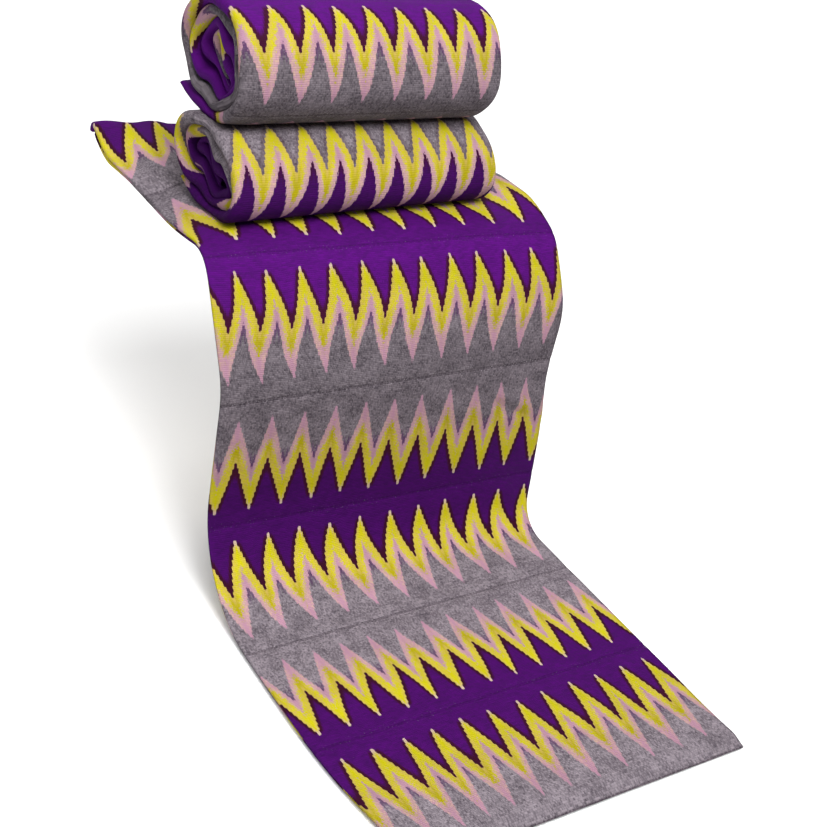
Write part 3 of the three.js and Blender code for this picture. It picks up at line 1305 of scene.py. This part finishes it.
    def plain_colours(
        self, bench: NodeBench, weave: Weave, purple_shading: Socket, grey_shading: Socket
    ) -> tuple[Socket, Socket]:
        """Mixes the two plain colours, with the painted light and shade of their strip.

        Args:
            bench: The material's nodes.
            weave: The place in the weave.
            purple_shading: Painted light and shade on the purple, as a factor.
            grey_shading: Painted light and shade on the grey, as a factor.

        Returns:
            The colour at even seams and the colour at odd ones.
        """
        yarns = self.yarns
        purple = bench.blend(bench.ramp(weave.slub, self.purple_mix), yarns.purple_deep, yarns.purple)
        # Painted light and shade on the purple
        purple = bench.scaled(purple, purple_shading)
        slub, fleck, cloud = self.heather
        heather = bench.plus(bench.times(weave.slub, slub), bench.times(weave.fleck, fleck))
        heather = bench.plus(heather, bench.times(weave.cloud, cloud))
        grey = bench.blend(bench.ramp(heather, self.heather_mix), yarns.grey_deep, yarns.grey)
        # Painted light and shade on the grey
        grey = bench.scaled(grey, grey_shading)
        return (purple, grey) if self.face is ClothFace.FRONT else (grey, purple)

    def follow_teeth(self, bench: NodeBench, teeth: Socket) -> tuple[Socket, Socket, Socket]:
        """Follows the legs of the zigzag between peaks and valleys.

        Args:
            bench: The material's nodes.
            teeth: Teeth across the cloth.

        Returns:
            The way down a leg, from 0 at the peak to 1 in the valley, the same in the steps of the weave, and
            a mound that is 0 at both ends of the leg and 1 in its middle.
        """
        slope = 1.0 - 2.0 * self.blunt
        way = bench.times(bench.math("PINGPONG", teeth, 0.5), 2.0 / slope)
        way = bench.minus(way, self.blunt / slope)
        way = bench.math("MAXIMUM", bench.math("MINIMUM", way, 1.0), 0.0)
        counted = bench.math("FLOOR", bench.times_plus(way, self.steps_per_leg, 0.5))
        stepped = bench.times(counted, self.step_share / self.steps_per_leg)
        stepped = bench.times_plus(way, 1.0 - self.step_share, stepped)
        return way, stepped, bench.times(bench.times(way, bench.minus(1.0, way)), 4.0)

    def bands(self, bench: NodeBench, weave: Weave) -> Socket:
        """Lays the zigzag bands between the two plain colours.

        Args:
            bench: The material's nodes.
            weave: The place in the weave.

        Returns:
            The colour of the bands.
        """
        yarns = self.yarns
        # Per-strip factors of painted light and shade on the purple, the grey and the zigzag
        painted_shading = bench.node("ShaderNodeAttribute", attribute_name=PAINTED_SHADING).outputs["Vector"]
        purple_shading, grey_shading, zigzag_shading = bench.split(painted_shading)
        first, second = self.plain_colours(bench, weave, purple_shading, grey_shading)
        way, stepped, mound = self.follow_teeth(bench, weave.teeth)

        def frayed(value: Socket, width: float) -> Socket:
            """Lets an edge stray with each yarn."""
            return bench.times_plus(weave.fleck, width, bench.minus(value, width / 2))

        across = frayed(bench.math("PINGPONG", weave.strips, 1.0), self.fray)

        def past(edge: BandEdge, wave: Socket) -> Socket:
            """Works out how far past an edge of a band a point lies.

            Args:
                edge: The edge.
                wave: The way down a leg of the zigzag.

            Returns:
                The distance as a share of the strip.
            """
            peak, drop, bulge = edge
            line = bench.times_plus(wave, drop, peak)
            line = bench.times_plus(mound, bulge, line) if bulge else line
            return bench.minus(across, line)

        past_yellow = past(self.yellow_edge, stepped)
        past_pink = frayed(past(self.pink_edge, way), self.pink_fray)
        past_far = frayed(past(self.far_edge, stepped), self.far_fray)
        outline = bench.ramp(bench.plus(past_yellow, bench.ramp(way, self.pocket)), self.outline)
        peak = self.yellow_edge[0]
        outline = bench.times(outline, bench.ramp(across, Ramp(peak, peak + self.outline_end)))
        colour = bench.blend(outline, first, yarns.outline)

        faded = bench.times(bench.ramp(weave.fleck, self.fading), mound)
        faded = bench.math("MAXIMUM", faded, bench.ramp(past_yellow, self.pale_rim))
        yellow = bench.blend(bench.ramp(way, self.olive), yarns.yellow, yarns.yellow_olive)
        yellow = bench.blend(faded, yellow, yarns.yellow_pale)
        tip = bench.times(bench.ramp(way, self.tip_width), bench.ramp(past_yellow, self.tip_length))
        # Painted light and shade on the yellow
        yellow = bench.scaled(bench.blend(tip, yellow, yarns.tip), zigzag_shading)
        colour = bench.blend(bench.ramp(past_yellow, self.yellow_blur), colour, yellow)

        pale = bench.times(bench.ramp(weave.fleck, self.pink_mix), mound)
        # Painted light and shade on the pink
        pink = bench.scaled(bench.blend(pale, yarns.pink, yarns.pink_pale), zigzag_shading)
        colour = bench.blend(bench.ramp(past_pink, self.pink_blur), colour, pink)

        tint = bench.times(bench.ramp(way, self.tint_width), bench.ramp(past_far, self.tint_length))
        second = bench.blend(tint, second, yarns.grey_tip if self.face is ClothFace.FRONT else yarns.outline)
        return bench.blend(bench.ramp(past_far, self.far_blur), colour, second)

    def sew(self, bench: NodeBench, weave: Weave, colour: Socket) -> tuple[Socket, Socket]:
        """Draws the sewn seams between the strips, with lint along them.

        Args:
            bench: The material's nodes.
            weave: The place in the weave.
            colour: The colour of the weave.

        Returns:
            The colour with its seams, and how deep the seam is.
        """
        wander = bench.times(bench.grain(weave.teeth, weave.strips, self.wander), self.wander_width)
        away = bench.math("ABSOLUTE", bench.minus(bench.math("PINGPONG", weave.strips, 0.5), wander))
        seam = bench.ramp(away, self.seam_width)
        at_even, at_odd = (0.0, 1.0) if self.face is ClothFace.FRONT else (1.0, 0.0)
        side = bench.math("PINGPONG", weave.strips, 1.0)
        in_grey = bench.ramp(side, Ramp(self.grey_from, self.grey_to, at_even, at_odd))
        stitch = bench.math("FRACT", bench.times(weave.teeth, self.stitches_per_tooth))
        held = bench.times(seam, bench.ramp(stitch, self.stitch_pull))
        held = bench.times(held, bench.ramp(in_grey, self.seam_in_grey))
        sewn = bench.blend(held, colour, self.seam_shade, "MULTIPLY")
        speck = bench.grain(weave.teeth, weave.strips, self.speck)
        lint = bench.times(bench.ramp(speck, self.speck_size), bench.ramp(away, self.lint_reach))
        lint = bench.times(lint, bench.ramp(in_grey, self.lint_in_grey))
        return bench.blend(lint, sewn, self.yarns.lint), seam


@dataclass(frozen=True)
class BoardFinish:
    """Matt painted board with a faint upright grain and a little wear."""

    name: str = "painted_board"
    light: Colour = srgb(226, 221, 211)
    dark: Colour = srgb(205, 198, 186)
    stretch: Place = (60.0, 60.0, 6.0)
    grain_scale: float = 3.0
    grain_detail: float = 5.0
    grain_share: float = 0.6
    wear_scale: float = 9.0
    wear_detail: float = 3.0
    mix: Ramp = Ramp(0.3, 0.7)
    roughness: Ramp = Ramp(0.3, 0.7, 0.55, 0.72)
    gloss: float = 0.5
    relief_strength: float = 0.25
    relief_depth: float = 0.0004

    def build(self) -> bpy.types.Material:
        """Builds the material.

        Returns:
            The finished board material.
        """
        bench = NodeBench(self.name)
        place = bench.node("ShaderNodeTexCoord").outputs["Object"]
        stretched = bench.node("ShaderNodeMapping", {"Vector": place, "Scale": self.stretch}).outputs[0]
        grain = bench.noise(stretched, self.grain_scale, self.grain_detail)
        wear = bench.noise(place, self.wear_scale, self.wear_detail)
        both = bench.plus(bench.times(grain, self.grain_share), bench.times(wear, 1.0 - self.grain_share))
        colour = bench.blend(bench.ramp(both, self.mix), self.dark, self.light)
        roughness = bench.ramp(wear, self.roughness)
        return bench.finish(colour, roughness, self.gloss, grain, self.relief_strength, self.relief_depth)


@dataclass(frozen=True)
class Stand:
    """The plain stand of three boards, which keeps its solids."""

    nodes: tuple[str, ...] = ("stand_top", "stand_front", "stand_rib")

    def dress(self, frame: dict, material: bpy.types.Material) -> None:
        """Paints the boards.

        Args:
            frame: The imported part.
            material: The board's finish.
        """
        for name in self.nodes:
            board = frame["nodes"][name]
            board.data.materials.clear()
            board.data.materials.append(material)
            log.info("painted %s", name)


class LampKind(Enum):
    """A kind of lamp: an even light from far away, or a soft box close by."""

    EVEN = "SUN"
    BOX = "AREA"


@dataclass(frozen=True)
class Lamp:
    """A soft light: where it stands, what it points at, and its power.

    Its spread is the width of a soft box in metres, or the breadth in degrees of an even light from far away.
    """

    name: str
    kind: LampKind
    place: Place
    target: Place
    spread: float
    power: float

    def build(self) -> None:
        """Adds the light."""
        data = bpy.data.lights.new(self.name, self.kind.value)
        if self.kind is LampKind.EVEN:
            data.angle = math.radians(self.spread)
        else:
            data.shape = "SQUARE"
            data.size = self.spread
        data.energy = self.power
        light = add_object(self.name, data)
        light.visible_camera = False
        light.location = self.place
        light.rotation_mode = "QUATERNION"
        light.rotation_quaternion = (Vector(self.target) - Vector(self.place)).to_track_quat("-Z", "Y")


@dataclass(frozen=True)
class Studio:
    """A plain pale floor, soft light from above, and the camera, in metres and degrees."""

    floor_half: float = 9.0
    floor_drop: float = 0.0003
    floor_level: float = 0.85
    floor_roughness: float = 0.9
    floor_gloss: float = 0.1
    sky: float = 0.47
    lens_px: float = 1303.0
    image_px: float = 827.0
    sensor: float = 36.0
    camera_place: Place = (-0.498, -0.6335, 0.613)
    camera_yaw: float = 38.5
    camera_pitch: float = 30.6
    camera_roll: float = -12.7
    lamps: tuple[Lamp, ...] = (
        Lamp("key", LampKind.EVEN, (-0.3, -0.95, 1.73), (0.0, 0.0, 0.0), 30.0, 1.62),
        Lamp("near", LampKind.BOX, (-0.12, -0.38, 0.9), (0.0, 0.03, 0.25), 0.35, 8.0),
        Lamp("back_wash", LampKind.BOX, (0.75, 1.9, 1.7), (0.75, 1.9, 0.0), 2.2, 30.0),
        Lamp("side_wash", LampKind.BOX, (-1.5, 0.5, 1.5), (-1.5, 0.5, 0.0), 1.6, 10.0),
    )

    def build(self) -> None:
        """Builds the floor, the light and the camera."""
        self.build_floor()
        for lamp in self.lamps:
            lamp.build()
        world = bpy.data.worlds.new("studio")
        world.use_nodes = True
        background = world.node_tree.nodes["Background"]
        background.inputs[0].default_value = (1.0, 1.0, 1.0, 1.0)
        background.inputs[1].default_value = self.sky
        bpy.context.scene.world = world
        bpy.context.scene.view_settings.view_transform = "Standard"
        self.build_camera()

    def build_floor(self) -> None:
        """Lays the floor."""
        bm = bmesh.new()
        bmesh.ops.create_grid(bm, x_segments=1, y_segments=1, size=self.floor_half)
        bmesh.ops.translate(bm, verts=bm.verts, vec=(0.0, 0.0, -self.floor_drop))
        mesh = bpy.data.meshes.new("floor")
        bm.to_mesh(mesh)
        bm.free()
        floor = add_object("floor", mesh)
        material = bpy.data.materials.new("pale_floor")
        material.use_nodes = True
        shader = material.node_tree.nodes["Principled BSDF"]
        shader.inputs["Base Color"].default_value = (*[self.floor_level] * 3, 1.0)
        shader.inputs["Roughness"].default_value = self.floor_roughness
        shader.inputs["Specular IOR Level"].default_value = self.floor_gloss
        mesh.materials.append(material)

    def build_camera(self) -> None:
        """Sets the camera at the photograph's viewing angle."""
        angles = (self.camera_yaw, self.camera_pitch, self.camera_roll)
        yaw, pitch, roll = (math.radians(angle) for angle in angles)
        ahead = Vector((math.sin(yaw) * math.cos(pitch), math.cos(yaw) * math.cos(pitch), -math.sin(pitch)))
        level = Vector((math.cos(yaw), -math.sin(yaw), 0.0))
        down = ahead.cross(level)
        right = level * math.cos(roll) + down * math.sin(roll)
        up = level * math.sin(roll) - down * math.cos(roll)
        data = bpy.data.cameras.new("camera")
        data.sensor_width = self.sensor
        data.lens = self.lens_px / self.image_px * self.sensor
        camera = add_object("camera", data)
        camera.rotation_mode = "QUATERNION"
        camera.rotation_quaternion = Matrix((right, up, -ahead)).transposed().to_quaternion()
        camera.location = self.camera_place
        bpy.context.scene.camera = camera


def lower_roll() -> Roll:
    """Gives the lower roll, with its reverse face out.

    Returns:
        The roll.
    """
    # Painted light and shade: the purple darker, as it lies in shade at the bottom of the roll, the grey
    # lighter and the zigzag a little darker
    painted_shading = (0.69, 1.15, 0.95)
    return Roll(
        name="lower_roll_cloth",
        node="lower_roll",
        length=224.0,
        centre=(-10.5, 67.0, 278.5),
        yaw=3.6,
        end_angle=300.0,
        ovals=(
            Oval(0.0, 49.6, 28.8, 11.0),
            Oval(1.0, 41.2, 20.6, 11.0),
            Oval(1.5, 37.0, 16.6, 12.5),
            Oval(2.0, 32.4, 12.4, 15.0),
            Oval(2.5, 27.0, 8.2, 18.0),
            Oval(3.0, 20.5, 4.2, 22.0),
            Oval(3.2, 17.5, 2.8, 23.0),
        ),
        slump=0.0,
        flat_spot=4.0,
        bottom=250.6,
        top=306.35,
        rests_on="runner_cloth",
        chart=StripChart(
            first_seam=-24.5,
            strips=(
                Strip(81.8, 12.2, margin=45.0, painted_shading=painted_shading),
                Strip(111.0, 11.5, 24.5, lean=15.0, margin=30.2, painted_shading=painted_shading),
                Strip(94.0, 0.0, painted_shading=painted_shading),
                Strip(60.0, 12.2, painted_shading=painted_shading),
                Strip(260.0, 12.2, margin=200.0, painted_shading=painted_shading),
                Strip(100.0, 0.0, painted_shading=painted_shading),
            ),
        ),
    )


def upper_roll() -> Roll:
    """Gives the upper roll, with its front face out and a loose end under it.

    Returns:
        The roll.
    """
    # Painted light and shade: the purple lighter, the grey and the zigzag darker
    painted_shading = (1.42, 0.8, 0.95)
    return Roll(
        name="upper_roll_cloth",
        node="upper_roll",
        length=212.0,
        centre=(-10.8, 83.0, 345.4),
        yaw=1.9,
        end_angle=277.0,
        ovals=(
            Oval(0.0, 49.2, 39.8, 8.8),
            Oval(1.0, 40.8, 31.6, 9.0),
            Oval(2.0, 32.2, 22.6, 14.0),
            Oval(2.5, 27.6, 17.6, 20.0),
            Oval(3.0, 22.8, 12.6, 28.0),
            Oval(3.5, 17.6, 8.0, 36.0),
            Oval(4.0, 12.0, 4.2, 41.0),
            Oval(4.25, 9.4, 3.0, 43.0),
        ),
        tail_length=28.0,
        tail_rise=5.0,
        bottom=306.65,
        top=388.0,
        rests_on="lower_roll_cloth",
        chart=StripChart(
            first_seam=38.0,
            strips=(
                Strip(47.0, 12.7, 25.4, margin=10.0, painted_shading=painted_shading),
                Strip(88.0, 4.9, 25.4, lean=-5.0, painted_shading=painted_shading),
                Strip(188.0, 0.0, 25.4, margin=100.0, painted_shading=painted_shading),
                Strip(288.0, 0.0, 25.4, margin=193.0, painted_shading=painted_shading),
                Strip(95.0, 0.0, 25.4, painted_shading=painted_shading),
                Strip(95.0, 12.7, 25.4, painted_shading=painted_shading),
                Strip(95.0, 12.7, 25.4, painted_shading=painted_shading),
            ),
        ),
    )


def main() -> None:
    """Builds the cloth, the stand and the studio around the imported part."""
    logging.basicConfig(level=logging.INFO, format="%(message)s")
    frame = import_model()
    runner = Runner()
    piece = runner.build()
    runner.dress(piece, KenteFinish("kente_front", ClothFace.FRONT).build())
    log.info("laid %s: %d rows", piece.name, len(runner.cloth.rows))
    reverse = KenteFinish(
        "kente_reverse",
        ClothFace.REVERSE,
        pink_edge=(0.335, 0.38, 0.0),
        outline=Ramp(-0.125, -0.06, 0.0, 0.35),
    )
    upper_front = KenteFinish(
        "kente_upper_front",
        ClothFace.FRONT,
        yellow_edge=(0.162, 0.366, 0.0),
        pink_edge=(0.325, 0.36, 0.0),
    )
    for roll, finish in ((lower_roll(), reverse), (upper_roll(), upper_front)):
        piece = roll.build()
        roll.dress(piece, finish.build())
        log.info("wound %s: %.0f mm of band", piece.name, roll.walked[-1])
    Stand().dress(frame, BoardFinish().build())
    Studio().build()
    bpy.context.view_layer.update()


if __name__ == "__main__":
    main()
